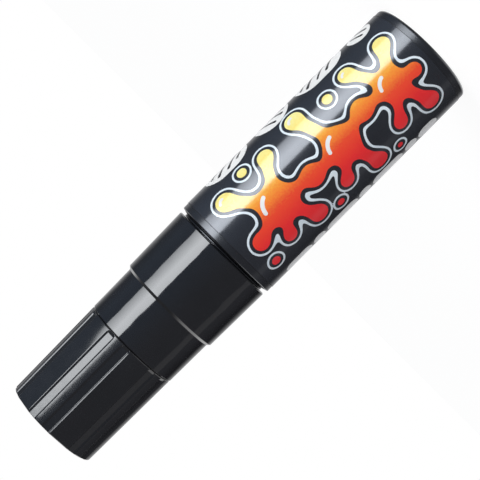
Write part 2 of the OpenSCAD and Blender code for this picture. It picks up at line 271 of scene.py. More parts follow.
gloss_black = moulded("gloss_black_plastic", BLACK_DARK, BLACK_LIGHT, (0.05, 0.09), 0.75,
                      wave=(150.0, 0.00011))
bottle_black = moulded("bottle_black_plastic", BLACK_DARK, BLACK_LIGHT, (0.2, 0.27), 0.8,
                       wave=FILM_WAVE, gloss_tint=FILM_TINT)
satin_black = moulded("satin_black_plastic", BLACK_DARK, BLACK_LIGHT, (0.16, 0.21), 0.75,
                      grain=(5200.0, 0.000003), wave=(110.0, 0.00003))
film_black = moulded("film_black", FILM_DARK, FILM_LIGHT, FILM_ROUGH, FILM_SPECULAR,
                     wave=FILM_WAVE, gloss_tint=FILM_TINT)
for hazy in (film_black, bottle_black):
    haze(hazy.node_tree.nodes["Principled BSDF"])
holder_grey = moulded("holder_grey_plastic", (0.022, 0.022, 0.024), (0.03, 0.03, 0.033), (0.38, 0.48), 0.5,
                      grain=(4200.0, 0.000012))
valve_white = moulded("valve_natural_plastic", (0.66, 0.65, 0.6), (0.74, 0.73, 0.69), (0.36, 0.46), 0.5,
                      wave=(160.0, 0.00003))
liner_white = moulded("liner_natural_plastic", (0.68, 0.68, 0.65), (0.76, 0.76, 0.73), (0.42, 0.55), 0.4,
                      wave=(140.0, 0.00003))
gasket_foam = moulded("gasket_foam", (0.58, 0.58, 0.56), (0.68, 0.68, 0.66), (0.75, 0.9), 0.3,
                      grain=(2600.0, 0.00004))
seal_rubber = moulded("seal_rubber", (0.012, 0.012, 0.012), (0.018, 0.018, 0.018), (0.6, 0.75), 0.35,
                      grain=(3600.0, 0.00001))
wire_steel = steel("spring_wire", (0.2, 0.32), 900.0, 0.000004)
ball_steel = steel("ball_steel", (0.08, 0.16), 500.0, 0.000002)
nib_felt = felt("nib_felt")

NODE_MATERIALS = {
    "barrel": bottle_black,
    "label_sleeve": film_black,
    "mixing_ball_1": ball_steel,
    "mixing_ball_2": ball_steel,
    "neck_gasket": gasket_foam,
    "front_section": gloss_black,
    "nib_holder": holder_grey,
    "nib": nib_felt,
    "valve_body": valve_white,
    "valve_cage": valve_white,
    "valve_seal": seal_rubber,
    "valve_stem": valve_white,
    "valve_spring": wire_steel,
    "cap": satin_black,
    "cap_liner": liner_white,
}
for node_name, node_material in NODE_MATERIALS.items():
    nodes[node_name].material_slots[0].material = node_material


def node_z(name):
    """Lowest and highest z of a node, in millimetres."""
    low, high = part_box(name)
    return low[2] / MM, high[2] / MM


def node_r(name):
    """Outside radius of a round node, in millimetres."""
    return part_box(name)[1][0] / MM


# Cap with softened channel edges; heights run from its rim, and the angles listed here are in degrees

CAP_Z, CAP_TOP_Z = node_z("cap")
CAP_LEN = CAP_TOP_Z - CAP_Z
CAP_R = node_r("cap")
CAP_TAPER = math.tan(math.radians(0.74))
CAP_BORE_R = 12.95
CAP_END_WALL = 1.8
CAP_CEILING = CAP_LEN - CAP_END_WALL
CAP_ROUND = 0.4
CEILING_ROUND = 0.3
RIM_CHAMFER = 0.25
RIM_SOFT = 0.2
CHANNEL_DEPTH = 0.42
CHANNEL_HALF = 1.13
CHANNEL_SIDE = 0.48
CHANNEL_STOP = -0.15
CHANNEL_RAMP = 1.1
CHANNEL_SOFT = 0.05
SIDE_LEAST = 0.2
CREST_SOFT = 0.26
CREST_FROM, CREST_OVER = 0.9, 0.8
PAIR_MIDDLES = [-140.6, -78.0, -17.1, 42.0, 101.1, 160.3]
NEXT_MIDDLES = PAIR_MIDDLES[1:] + PAIR_MIDDLES[:1]
PAIR_GAPS = [(after - middle) % 360 for middle, after in zip(PAIR_MIDDLES, NEXT_MIDDLES)]
PAIR_SPREAD = 22.5
LAND_EDGE = 18.3
LAND_FLATNESS = [1, 1, 1, 1, 1, 0]
LAND_FROM, LAND_OVER = 0.8, 13.0
LAND_STEP = 2.2
AXIS_R = 0.02
CHANNEL_OFFSETS = [0, 2.0, 3.4, 4.1, 4.4, 4.65, 4.9, 5.15, 5.4, 5.65,
                   5.9, 6.15, 6.4, 6.65, 6.9, 7.2, 7.6, 8.2, 9.0]
RIM_HEIGHTS = [0.0, 0.08, 0.16, 0.24, 0.32, 0.4, 0.5, 0.6, 0.68, 0.76, 0.84, 0.92, 1.0, 1.1, 1.25, 1.5, 2.2]
WALL_SHARES = (0.11, 0.16, 0.21, 0.26, 0.31, 0.36, 0.41, 0.46, 0.55, 0.68, 0.82, 0.94)
ROUND_SHARES = (1.0, 0.8, 0.6, 0.42, 0.26, 0.13, 0.04, 0.0)
END_SHARES = (0.95, 0.8, 0.5, 0.2, 0.02)


def land_sink(degrees, z):
    """Flattening of the wide lands between the pairs; it fades out towards the round rim."""
    grown = clamp((z - LAND_FROM) / LAND_OVER)
    for middle, gap, flatness in zip(PAIR_MIDDLES, PAIR_GAPS, LAND_FLATNESS):
        half = gap / 2 - LAND_EDGE
        offset = (degrees - middle) % 360 - gap / 2
        if abs(offset) < half:
            flat = flatness * CAP_R * (1 - math.cos(math.radians(half)))
            return flat * (1 - (offset / half) ** 2) * grown * grown * (3 - 2 * grown)
    return 0.0


def crest_r(z):
    """Radius of the cap outside its channels."""
    r = CAP_R - z * CAP_TAPER
    r = smooth_min(r, CAP_R - RIM_CHAMFER + z, RIM_SOFT)
    over = z - (CAP_LEN - CAP_ROUND)
    if over > 0:
        r -= CAP_ROUND - math.sqrt(max(CAP_ROUND ** 2 - over ** 2, 0.0))
    return r


def channel_r(delta, z):
    """Radius of a channel's floor, ramp and sides, at an angle in radians from its middle line."""
    floor = CAP_R - z * CAP_TAPER - CHANNEL_DEPTH
    ramp = floor + (CHANNEL_STOP + CHANNEL_RAMP - z) * CHANNEL_DEPTH / CHANNEL_RAMP
    floor = smooth_max(floor, ramp, CHANNEL_SOFT)
    flat = floor / math.cos(delta)
    steep = CHANNEL_DEPTH / CHANNEL_SIDE
    side = (floor - steep * CHANNEL_HALF) / max(math.cos(delta) - steep * math.sin(abs(delta)), SIDE_LEAST)
    return smooth_max(flat, side, CHANNEL_SOFT)


def cap_angles():
    """Angles round the cap in radians, dense across the channel sides.

    Each comes with its offset from the channel that it crosses, or None on a land.
    """
    offsets = sorted(set([-o for o in CHANNEL_OFFSETS] + CHANNEL_OFFSETS))
    angles = []
    for middle, gap in zip(PAIR_MIDDLES, PAIR_GAPS):
        for side in (-1, 1):
            centre = middle + side * PAIR_SPREAD / 2
            angles += [(math.radians(centre + o), math.radians(o)) for o in offsets]
            plain = (gap - PAIR_SPREAD if side > 0 else PAIR_SPREAD) - 2 * offsets[-1]
            steps = max(1, round(plain / LAND_STEP))
            edge = centre + offsets[-1]
            angles += [(math.radians(edge + plain * i / steps), None) for i in range(1, steps)]
    return angles


def build_cap():
    """Closed shell: ceiling, bore and rim, then the outside wall and the end face."""
    angles = cap_angles()
    inside = [
        (AXIS_R, CAP_CEILING), (CAP_BORE_R * 0.5, CAP_CEILING),
        (CAP_BORE_R - CEILING_ROUND, CAP_CEILING), (CAP_BORE_R, CAP_CEILING - CEILING_ROUND),
        (CAP_BORE_R, CAP_CEILING * 0.6), (CAP_BORE_R, CAP_CEILING * 0.3),
        (CAP_BORE_R, RIM_CHAMFER), (CAP_BORE_R + RIM_CHAMFER, 0.0),
    ]
    rows = [[polar(r, a, CAP_Z + z) for a, _ in angles] for r, z in inside]
    heights = RIM_HEIGHTS + [CAP_LEN * f for f in WALL_SHARES]
    heights += [CAP_LEN - CAP_ROUND * f for f in ROUND_SHARES]
    for z in heights:
        soft = CHANNEL_SOFT + (CREST_SOFT - CHANNEL_SOFT) * clamp((z - CREST_FROM) / CREST_OVER)
        row = []
        for a, delta in angles:
            r = crest_r(z) - land_sink(math.degrees(a), z)
            if delta is not None:
                r = smooth_min(r, channel_r(delta, z), soft)
            row.append(polar(r, a, CAP_Z + z))
        rows.append(row)
    end_r = crest_r(CAP_LEN) - CHANNEL_DEPTH
    rows += [[polar(end_r * share, a, CAP_Z + CAP_LEN) for a, _ in angles] for share in END_SHARES]
    points, faces = loft(rows)
    cap = add_mesh("cap_shell", points, faces, satin_black, "cap")
    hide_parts("cap")


build_cap()


# Screw thread on the bottle's neck; its profile is (out, up) from the neck's wall

NECK_R = 13.45
NECK_TOP_Z = node_z("barrel")[1]
THREAD_PITCH = 4.0
THREAD_TURNS = 2.0
THREAD_STEPS = 72
THREAD_TOP_GAP = 1.2
THREAD_OUT = 0.62
THREAD_PROFILE = [(-0.08, -0.85), (THREAD_OUT * 0.75, -0.38), (THREAD_OUT, -0.22),
                  (THREAD_OUT, 0.22), (THREAD_OUT * 0.75, 0.38), (-0.08, 0.85)]
FADE_SPEED = 9
FADE_LEAST = 0.1


def build_thread():
    """Ridge that fades into the neck at both ends."""
    steps = int(THREAD_TURNS * THREAD_STEPS)
    start = NECK_TOP_Z - THREAD_TOP_GAP - THREAD_TURNS * THREAD_PITCH
    rows = []
    for i in range(steps + 1):
        share = i / steps
        a = 2 * math.pi * THREAD_TURNS * share
        z = start + THREAD_TURNS * THREAD_PITCH * share
        fade = min(1.0, FADE_SPEED * share, FADE_SPEED * (1 - share)) * (1 - FADE_LEAST) + FADE_LEAST
        ridge = []
        for out, up in THREAD_PROFILE:
            r = NECK_R + out * (fade if out > 0 else 1)
            ridge.append(polar(r, a, z + up * fade))
        rows.append(ridge)
    points, faces = loft(rows)
    add_mesh("neck_thread", points, faces, bottle_black, "bottle")


build_thread()


# Felt nib with soft edges; the edge at its top is a list of (inset, drop)

NIB_LOW, NIB_HIGH = node_z("nib")
NIB_HALF_W = 7.5
NIB_HALF_T = 4.5
NIB_ROUND = 0.9
NIB_ROUND_LOSS = 0.4
NIB_ROUND_LEAST = 0.15
NIB_SLOPE = math.radians(32)
NIB_SLOPE_DROP = 2 * NIB_HALF_T * math.tan(NIB_SLOPE)
NIB_FLAT = 0.8
NIB_FOOT = 0.35
NIB_WALL_SHARES = (0.25, 0.5, 0.72)
NIB_EDGE = ((0.0, 0.7), (0.06, 0.42), (0.2, 0.2), (0.42, 0.06),
            (0.7, 0.0), (1.6, 0.0), (2.8, 0.0), (3.9, 0.0))
CORNER_STEPS = 6
WIDE_SHARES = (0.2, 0.4, 0.6, 0.8)
NARROW_SHARES = (0.25, 0.5, 0.75)


def nib_outline(inset):
    """Rounded rectangle of the nib's section, drawn in by inset."""
    points = []
    half_w, half_t = NIB_HALF_W - inset, NIB_HALF_T - inset
    radius = max(NIB_ROUND - inset * NIB_ROUND_LOSS, NIB_ROUND_LEAST)
    for quarter, (sx, sy) in enumerate(((1, 1), (-1, 1), (-1, -1), (1, -1))):
        cx, cy = sx * max(half_w - radius, 0.0), sy * max(half_t - radius, 0.0)
        for i in range(CORNER_STEPS + 1):
            a = math.radians(90 * quarter + 90 * i / CORNER_STEPS)
            points.append((cx + radius * math.cos(a), cy + radius * math.sin(a)))
        last_x, last_y = points[-1]
        if quarter in (0, 2):
            end_x = -sx * (half_w - radius)
            points += [(last_x + (end_x - last_x) * f, sy * half_t) for f in WIDE_SHARES]
        else:
            end_y = -sy * (half_t - radius)
            points += [(sx * half_w, last_y + (end_y - last_y) * f) for f in NARROW_SHARES]
    return points


def nib_top(y):
    """Height of the chisel end: the edge is on the photographed side and slopes down to the back."""
    run = y + NIB_HALF_T - NIB_FLAT
    return NIB_HIGH - max(run, 0.0) * NIB_SLOPE_DROP / (2 * NIB_HALF_T - NIB_FLAT)


def build_nib():
    """Closed block with a chamfered foot, straight walls and a softened edge round its slope."""
    wall = nib_outline(0.0)
    rows = [[(x, y, NIB_LOW) for x, y in nib_outline(NIB_FOOT)]]
    rows.append([(x, y, NIB_LOW + NIB_FOOT) for x, y in wall])
    for share in NIB_WALL_SHARES:
        rows.append([(x, y, NIB_LOW + NIB_FOOT + (nib_top(y) - NIB_LOW) * share) for x, y in wall])
    for inset, drop in NIB_EDGE:
        rows.append([(x, y, nib_top(y) - drop) for x, y in nib_outline(inset)])
    points, faces = loft(rows)
    nib = add_mesh("felt_nib", points, faces, nib_felt, "pump")
    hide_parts("nib")


build_nib()


# Valve spring

SPRING_LOW, SPRING_HIGH = node_z("valve_spring")
SPRING_TURNS = 6
SPRING_STEPS = 28
SPRING_R = 3.6
WIRE_R = 0.35
WIRE_SIDES = 10


def build_spring():
    """Round wire wound between the two seats."""
    steps = SPRING_TURNS * SPRING_STEPS
    low, high = SPRING_LOW + WIRE_R, SPRING_HIGH - WIRE_R
    rows = []
    for i in range(steps + 1):
        a = 2 * math.pi * SPRING_TURNS * i / steps
        z = low + (high - low) * i / steps
        ring = []
        for k in range(WIRE_SIDES):
            b = 2 * math.pi * k / WIRE_SIDES
            ring.append(polar(SPRING_R + WIRE_R * math.cos(b), a, z + WIRE_R * math.sin(b)))
        rows.append(ring)
    points, faces = loft(rows)
    spring = add_mesh("coil_spring", points, faces, wire_steel, "front")
    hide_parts("valve_spring")
    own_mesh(spring)


build_spring()


# Printed film: u runs from the film's front edge towards the base, v round the bottle from the
# photographed side. A shape is a field over u and v that is below zero inside it.

FILM_R = node_r("label_sleeve")
FILM_LOW, FILM_HIGH = node_z("label_sleeve")
INK_SINK = 0.012
INK_STEP, FINE_STEP = 0.45, 0.3
CUT_MARGIN = 0.04


def film_point(u, v, r):
    """Point at u and v on a cylinder of radius r."""
    angle = v / FILM_R
    return (-r * math.sin(angle), -r * math.cos(angle), FILM_HIGH - u)


def disc(cu, cv, r):
    """Filled circle."""
    return lambda u, v: math.hypot(u - cu, v - cv) - r


def bar(u0, v0, u1, v1, r, end_r=None):
    """Round-ended stroke; its radius can change towards the second end."""
    du, dv = u1 - u0, v1 - v0
    square = du * du + dv * dv
    last = r if end_r is None else end_r

    def field(u, v):
        f = clamp(((u - u0) * du + (v - v0) * dv) / square)
        return math.hypot(u - u0 - f * du, v - v0 - f * dv) - (r + (last - r) * f)
    return field


def arc(cu, cv, radius, first, last, r):
    """Round-ended stroke bent round a centre, between two angles in degrees."""
    middle, half = math.radians(first + last) / 2, math.radians(last - first) / 2

    def field(u, v):
        turn = math.remainder(math.atan2(v - cv, u - cu) - middle, 2 * math.pi)
        a = middle + min(half, max(-half, turn))
        return math.hypot(u - cu - radius * math.cos(a), v - cv - radius * math.sin(a)) - r
    return field


def melt(shapes, k):
    """Union of shapes with filled inner corners."""
    def field(u, v):
        value = shapes[0](u, v)
        for shape in shapes[1:]:
            value = smooth_min(value, shape(u, v), k)
        return value
    return field


def either(shapes):
    """Plain union of shapes."""
    return lambda u, v: min(shape(u, v) for shape in shapes)


def band(field, near, far):
    """Line round a shape, between two distances from its edge."""
    return lambda u, v: abs(field(u, v) - (near + far) / 2) - (far - near) / 2


def ink_mesh(field, box, thick, step):
    """Thin closed sheet of ink where the field is below zero, wrapped round the film."""
    u0, v0, u1, v1 = box
    nu, nv = int(math.ceil((u1 - u0) / step)), int(math.ceil((v1 - v0) / step))
    value = [[field(u0 + i * step, v0 + j * step) for j in range(nv + 1)] for i in range(nu + 1)]
    flat, index, cells = [], {}, []

    def vertex(key, u, v):
        if key not in index:
            index[key] = len(flat)
            flat.append((u, v))
        return index[key]

    for i in range(nu):
        for j in range(nv):
            corners = [(i, j), (i + 1, j), (i + 1, j + 1), (i, j + 1)]
            if all(value[a][b] >= 0 for a, b in corners):
                continue
            loop = []
            for k in range(4):
                a, b = corners[k], corners[(k + 1) % 4]
                fa, fb = value[a[0]][a[1]], value[b[0]][b[1]]
                if fa < 0:
                    loop.append(vertex(a, u0 + a[0] * step, v0 + a[1] * step))
                if (fa < 0) != (fb < 0):
                    f = min(1 - CUT_MARGIN, max(CUT_MARGIN, fa / (fa - fb)))
                    lo, hi = sorted((a, b))
                    share = f if lo == a else 1 - f
                    u = u0 + (lo[0] + (hi[0] - lo[0]) * share) * step
                    v = v0 + (lo[1] + (hi[1] - lo[1]) * share) * step
                    loop.append(vertex((lo, hi), u, v))
            if len(loop) > 2:
                cells.append(loop)
    count = len(flat)
    points = [film_point(u, v, FILM_R - INK_SINK) for u, v in flat]
    points += [film_point(u, v, FILM_R + thick) for u, v in flat]
    faces = [tuple(loop) for loop in cells] + [tuple(count + n for n in reversed(loop)) for loop in cells]
    edges = {}
    for loop in cells:
        for k in range(len(loop)):
            a, b = loop[k], loop[(k + 1) % len(loop)]
            edges.setdefault((min(a, b), max(a, b)), []).append((a, b))
    for uses in edges.values():
        if len(uses) == 1:
            a, b = uses[0]
            faces.append((b, a, count + a, count + b))
    return points, faces


# Generic motif. A splat is (u, v, core radius, arms) with arms of (angle, length, tip radius), a drop is
# a disc and a glint is an arc. White patches and dashes are (start u, end u, v, radius), and the hatching
# is tapered bars.

SPLATS = [
    (17.4, 1.4, 6.0, [(4, 12.2, 2.3), (60, 12.8, 2.5), (111, 9.8, 1.7),
                      (158, 11.6, 2.2), (228, 15.0, 2.7), (298, 14.0, 2.2)]),
    (41.2, 2.4, 5.5, [(176, 11.6, 2.3), (122, 10.4, 1.8), (68, 13.2, 2.4),
                      (344, 11.0, 2.2), (254, 16.0, 2.7)]),
    (62.6, 0.4, 4.7, [(184, 10.8, 2.2), (118, 11.0, 1.8), (66, 12.8, 2.4),
                      (12, 7.4, 1.7), (240, 13.4, 2.2), (300, 12.0, 2.3)]),
]
DROPS = [(30.4, 15.6, 1.2), (6.0, 13.6, 1.4), (16.4, -13.0, 1.6), (47.4, -9.9, 1.6), (53.4, 16.4, 0.9)]
GLINTS = [
    (17.4, 1.4, 4.4, 186, 246, 0.6), (7.4, -9.7, 1.55, 196, 268, 0.45),
    (41.2, 2.4, 4.0, 190, 254, 0.58), (36.8, -13.0, 1.55, 192, 266, 0.45),
    (62.6, 0.4, 3.4, 192, 256, 0.55), (55.9, -11.2, 1.2, 196, 262, 0.38),
]
PATCHES = [
    (13.2, 17.0, -23.6, 6.4), (33.2, 33.4, -23.6, 6.4),
    (49.2, 54.6, -23.6, 6.4), (67.4, 67.6, -21.4, 4.2),
]
HATCHING = [
    (9.2, -22.2, 12.8, -27.4, 0.5, 0.3), (11.4, -19.9, 16.6, -27.6, 0.6, 0.35),
    (15.0, -19.5, 20.2, -26.4, 0.55, 0.3), (18.8, -20.6, 20.8, -23.2, 0.5, 0.3),
    (28.8, -25.4, 33.4, -19.4, 0.3, 0.55), (31.4, -27.4, 36.6, -20.7, 0.35, 0.6),
    (34.6, -27.8, 38.0, -23.4, 0.3, 0.55),
    (44.8, -22.0, 47.8, -26.4, 0.5, 0.3), (46.6, -19.8, 52.0, -27.8, 0.6, 0.35),
    (50.4, -19.4, 55.8, -27.4, 0.35, 0.6), (54.2, -19.8, 58.8, -26.6, 0.55, 0.3),
    (64.9, -22.6, 67.8, -19.2, 0.3, 0.5), (67.0, -23.6, 70.0, -20.6, 0.3, 0.5),
]
DASHES = [
    (8.6, 14.0, 22.6, 2.4), (19.4, 19.6, 22.2, 2.2), (25.0, 32.4, 22.2, 2.3), (37.6, 37.8, 21.9, 2.2),
    (43.2, 50.4, 22.1, 2.3), (56.0, 56.2, 21.4, 2.2), (61.6, 64.0, 21.3, 2.4),
]
ARM_R = 1.5
ARM_TIP_SHARE = 0.7
MELT = 2.4
OUTLINE_NEAR, OUTLINE_FAR = 0.95, 1.58


def splat(cu, cv, core, arms):
    """Round core with arms that swell into round tips."""
    tips = []
    for degrees, length, r in arms:
        a = math.radians(degrees)
        tips.append((cu + length * math.cos(a), cv + length * math.sin(a), r))
    strokes = [bar(cu, cv, u, v, ARM_R, r * ARM_TIP_SHARE) for u, v, r in tips]
    return melt([disc(cu, cv, core)] + strokes + [disc(*tip) for tip in tips], MELT)


paint = either([melt([splat(*one) for one in SPLATS], MELT)] + [disc(*drop) for drop in DROPS])
outline = band(paint, OUTLINE_NEAR, OUTLINE_FAR)
glints = either([arc(*glint) for glint in GLINTS])
patches = either([bar(start, v, end, v, r) for start, end, v, r in PATCHES])
hatching = either([bar(*stroke) for stroke in HATCHING])
dashes = either([bar(start, v, end, v, r) for start, end, v, r in DASHES])


# Inks

FILL_FROM_X, FILL_TO_X = 0.0136, -0.0128
FILL_LOW, FILL_HIGH = -0.06, 0.94
FILL_STOPS = [
    (0.0, (0.97, 0.92, 0.38)), (0.24, (0.96, 0.7, 0.08)), (0.42, (0.94, 0.32, 0.02)),
    (0.6, (0.92, 0.065, 0.014)), (0.8, (0.96, 0.018, 0.018)), (1.0, (0.96, 0.014, 0.02)),
]
SPECKLE_SCALE = 1700.0
SPECKLE_SHARE = 0.12


def fill_ink(name):
    """Ink that runs from yellow to red across the bottle, with a printed speckle."""
    material, tree, shader, coords = inked(name)
    axes = tree.nodes.new("ShaderNodeSeparateXYZ")
    tree.links.new(coords, axes.inputs["Vector"])
    across = tree.nodes.new("ShaderNodeMapRange")
    across.clamp = False
    across.inputs["From Min"].default_value = FILL_FROM_X
    across.inputs["From Max"].default_value = FILL_TO_X
    across.inputs["To Min"].default_value = FILL_LOW
    across.inputs["To Max"].default_value = FILL_HIGH
    tree.links.new(axes.outputs["X"], across.inputs["Value"])
    ramp = tree.nodes.new("ShaderNodeValToRGB")
    set_stops(ramp.color_ramp, FILL_STOPS)
    speckle = tree.nodes.new("ShaderNodeMath")
    speckle.operation = "MULTIPLY_ADD"
    speckle.inputs[1].default_value = SPECKLE_SHARE
    tree.links.new(noise(tree, coords, SPECKLE_SCALE, 2.0), speckle.inputs[0])
    tree.links.new(across.outputs["Result"], speckle.inputs[2])
    tree.links.new(speckle.outputs["Value"], ramp.inputs["Fac"])
    tree.links.new(ramp.outputs["Color"], shader.inputs["Base Color"])
    return material


def plain_ink(name, dark, light):
    """Ink of one colour with a slight mottle."""
    material, tree, shader, coords = inked(name)
    cloud = noise(tree, coords, INK_MOTTLE_SCALE, 3.0)
    tree.links.new(tint(tree, cloud, dark, light), shader.inputs["Base Color"])
    return material


ink_fill = fill_ink("ink_yellow_to_red")
ink_pale = plain_ink("ink_pale_blue", (0.75, 0.85, 0.92), (0.82, 0.9, 0.95))
ink_white = plain_ink("ink_white", (0.85, 0.85, 0.84), (0.9, 0.9, 0.89))
ink_black = plain_ink("ink_black", (0.006, 0.006, 0.007), (0.01, 0.01, 0.011))

# Each print has a box of (u, v) to (u, v); glints and hatching lie on other ink
INK_THICK, TOP_INK_THICK = 0.02, 0.04
PRINT_BOX = (1.5, -19.0, 74.0, 19.4)
PRINTS = [
    ("print_paint", paint, PRINT_BOX, INK_THICK, INK_STEP, ink_fill),
    ("print_outline", outline, PRINT_BOX, INK_THICK, INK_STEP, ink_pale),
    ("print_glints", glints, PRINT_BOX, TOP_INK_THICK, FINE_STEP, ink_white),
    ("print_badges", patches, (6.0, -30.5, 72.5, -16.5), INK_THICK, INK_STEP, ink_white),
    ("print_marks", hatching, (8.2, -28.6, 71.0, -18.5), TOP_INK_THICK, FINE_STEP, ink_black),
    ("print_dashes", dashes, (5.5, 18.5, 67.5, 27.0), INK_THICK, INK_STEP, ink_white),
]
for print_name, field, box, thick, step, ink in PRINTS:
    points, faces = ink_mesh(field, box, thick, step)
    add_mesh(print_name, points, faces, ink, "bottle")


# Overlap of the film at the back

LAP_HALF = 1.6
LAP_THICK = 0.06
LAP_PLACES = (-LAP_HALF, -LAP_HALF / 2, 0, LAP_HALF / 2, LAP_HALF)


def build_overlap():
    """Closed strip along the back, where one end of the film lies on the other."""
    length, back_v = FILM_HIGH - FILM_LOW, math.pi * FILM_R
    rows = []
    for u in (0.0, length / 2, length):
        section = [film_point(u, back_v + v, FILM_R - INK_SINK) for v in LAP_PLACES]
        section += [film_point(u, back_v + v, FILM_R + LAP_THICK) for v in reversed(LAP_PLACES)]
        rows.append(section)
    points, faces = loft(rows)
    add_mesh("film_overlap", points, faces, film_black, "bottle")


build_overlap()


# Cut edges of the film: thin matt dark rings that are painted shade for the shadow line along each edge

CUT_THICK = 0.012
CUT_STEPS = 180
CUT_GAP = 0.02
CUT_FRONT, CUT_BASE = 0.16, 0.14


def build_edge_shade(name, z_low, z_high):
    """Thin closed ring round the film between two heights: a matt dark band of painted shade."""
    inner, outer = FILM_R - INK_SINK, FILM_R + CUT_THICK
    section = [(inner, z_low), (outer, z_low), (outer, z_high), (inner, z_high)]
    rows = [[polar(r, 2 * math.pi * i / CUT_STEPS, z) for r, z in section] for i in range(CUT_STEPS)]
    points, faces = loft(rows + [rows[0]], closed_ends=False)
    count = len(rows) * len(section)
    faces = [tuple(n % count for n in face) for face in faces]
    add_mesh(name, points[:count], faces, edge_shade_black, "bottle")


# Matt dark finish for the rings, so that they read as painted shade along the film's edges
edge_shade_black = moulded("film_edge_painted_shade", BLACK_DARK, BLACK_LIGHT, (0.6, 0.75), 0.3, grain=(3000.0, 0.00001))
build_edge_shade("film_edge_shade_front", FILM_HIGH - CUT_FRONT, FILM_HIGH - CUT_GAP)
build_edge_shade("film_edge_shade_base", FILM_LOW + CUT_GAP, FILM_LOW + CUT_BASE)


# Camera at the photograph's view: level, square to the axis and rolled so that the cap points down left

IMAGE_PX = 480
PX_MM = 0.2863
SENSOR_MM = 36.0
CAMERA_D = 0.40
AXIS_ANGLE = math.radians(45.15)
CENTRE = Vector((-0.00102, 0.0, 0.0748))

camera_data = bpy.data.cameras.new("camera")
camera = bpy.data.objects.new("camera", camera_data)
bpy.context.scene.collection.objects.link(camera)
camera_data.sensor_width = SENSOR_MM
camera_data.lens = SENSOR_MM * (CAMERA_D / MM / PX_MM) / IMAGE_PX
camera_data.clip_start = 0.01
camera_data.clip_end = 20.0
right = Vector((-math.sin(AXIS_ANGLE), 0.0, -math.cos(AXIS_ANGLE)))
up = Vector((math.cos(AXIS_ANGLE), 0.0, -math.sin(AXIS_ANGLE)))
back = right.cross(up)
place = CENTRE + back * CAMERA_D
camera.matrix_world = Matrix((
    (right.x, up.x, back.x, place.x),
    (right.y, up.y, back.y, place.y),
    (right.z, up.z, back.z, place.z),
    (0, 0, 0, 1),
))
bpy.context.scene.camera = camera


# Lamps: one softbox on the photo's upper side, split into the strip that reflections see and the wash
# that lights the colours at a plain level, and a faint strip on the far side

LAMP_TARGET = Vector((0, 0, 0.075))
LAMP_D = 0.40
LAMP_LENGTH = 0.34
KEY_ANGLE = 50.2
KEY_WIDTH = 0.30
KEY_COLOUR = (0.95, 0.975, 1.0)
KEY_LEVELS = ((0.0, 0.9), (0.4, 1.0), (1.0, 0.42))
STRIP_RADIANCE = 8.4
WASH_RADIANCE = 5.2
EDGE_ANGLE = -83
EDGE_WIDTH = 0.10
EDGE_RADIANCE = 0.17
EDGE_COLOUR = (1.0, 0.98, 0.96)


def softbox(name, degrees, width, radiance, colour, levels=None):
    """Rectangular lamp at an angle from the photographed side towards +X.

    levels lists (place, strength) across its width and makes it a lamp for reflections only.
    """
    data = bpy.data.lights.new(name, "AREA")
    data.shape = "RECTANGLE"
    data.size = width
    data.size_y = LAMP_LENGTH
    data.energy = radiance * math.pi * width * LAMP_LENGTH
    data.color = colour
    lamp = bpy.data.objects.new(name, data)
    bpy.context.scene.collection.objects.link(lamp)
    a = math.radians(degrees)
    aim = Vector((math.sin(a), -math.cos(a), 0.0)).normalized()
    lamp.location = LAMP_TARGET + aim * LAMP_D
    lamp.rotation_euler = aim.to_track_quat("Z", "Y").to_euler()
    lamp.visible_camera = False
    if levels:
        lamp.visible_diffuse = False
        data.use_nodes = True
        tree = data.node_tree
        spot = tree.nodes.new("ShaderNodeSeparateXYZ")
        tree.links.new(tree.nodes.new("ShaderNodeNewGeometry").outputs["Parametric"], spot.inputs["Vector"])
        level = tree.nodes.new("ShaderNodeValToRGB")
        set_stops(level.color_ramp, [(at, (share, share, share)) for at, share in levels])
        tree.links.new(spot.outputs["X"], level.inputs["Fac"])
        tree.links.new(level.outputs["Color"], tree.nodes["Emission"].inputs["Strength"])
    return lamp


softbox("key_strip", KEY_ANGLE, KEY_WIDTH, STRIP_RADIANCE, KEY_COLOUR, KEY_LEVELS)
softbox("key_wash", KEY_ANGLE, KEY_WIDTH, WASH_RADIANCE, KEY_COLOUR).visible_glossy = False
softbox("edge_strip", EDGE_ANGLE, EDGE_WIDTH, EDGE_RADIANCE, EDGE_COLOUR)


# Surroundings: plain white to the camera, one even level to the colours, and to reflections a dim room
# with a white backdrop and boards

MIX_COLOURS = slice(6, 8)
MIX_RESULT = 2
AMBIENT = (0.5, 0.505, 0.52)
WHITE = (1.0, 1.0, 1.0)
ROOM_FAR, ROOM_STRIP = (0.195, 0.2, 0.23), (0.2, 0.255, 0.35)
GLOOM_FAR, GLOOM_STRIP = (0.035, 0.035, 0.04), (0.1, 0.11, 0.13)
BOARD_DIM, BOARD_BRIGHT = (0.22, 0.22, 0.23), (1.6, 1.6, 1.6)
BACKDROP_LEVEL, BACKDROP_STEEP = (0.62, 0.62, 0.63), (1.6, 1.6, 1.6)
TILT_RANGE = (0.15, 0.6)
LEAN_SLOPE, LEAN_LEVEL = -0.55, 0.4
REACH_SKEW = 0.03
STRIP_SIDE_RANGE = (-0.7, 0.9)
GLOOM_RANGE = (0.0, 0.75)
FAR_SIDE_RANGE = (0.1, 0.5)
BOARD_RANGE = (0.45, 0.85)
BACKDROP_RANGE = (0.62, 0.98)

world = bpy.data.worlds.new("studio")
bpy.context.scene.world = world
world.use_nodes = True
sky = world.node_tree
sky.nodes.clear()
path = sky.nodes.new("ShaderNodeLightPath")
direction = sky.nodes.new("ShaderNodeTexCoord")
axes = sky.nodes.new("ShaderNodeSeparateXYZ")
sky.links.new(direction.outputs["Generated"], axes.inputs["Vector"])
to_x, to_y, to_z = axes.outputs["X"], axes.outputs["Y"], axes.outputs["Z"]


def sky_math(operation, a, b):
    """Result of two values; the second can be a plain number."""
    node = sky.nodes.new("ShaderNodeMath")
    node.operation = operation
    for socket, value in zip(node.inputs, (a, b)):
        if isinstance(value, float):
            socket.default_value = value
        else:
            sky.links.new(value, socket)
    return node.outputs["Value"]


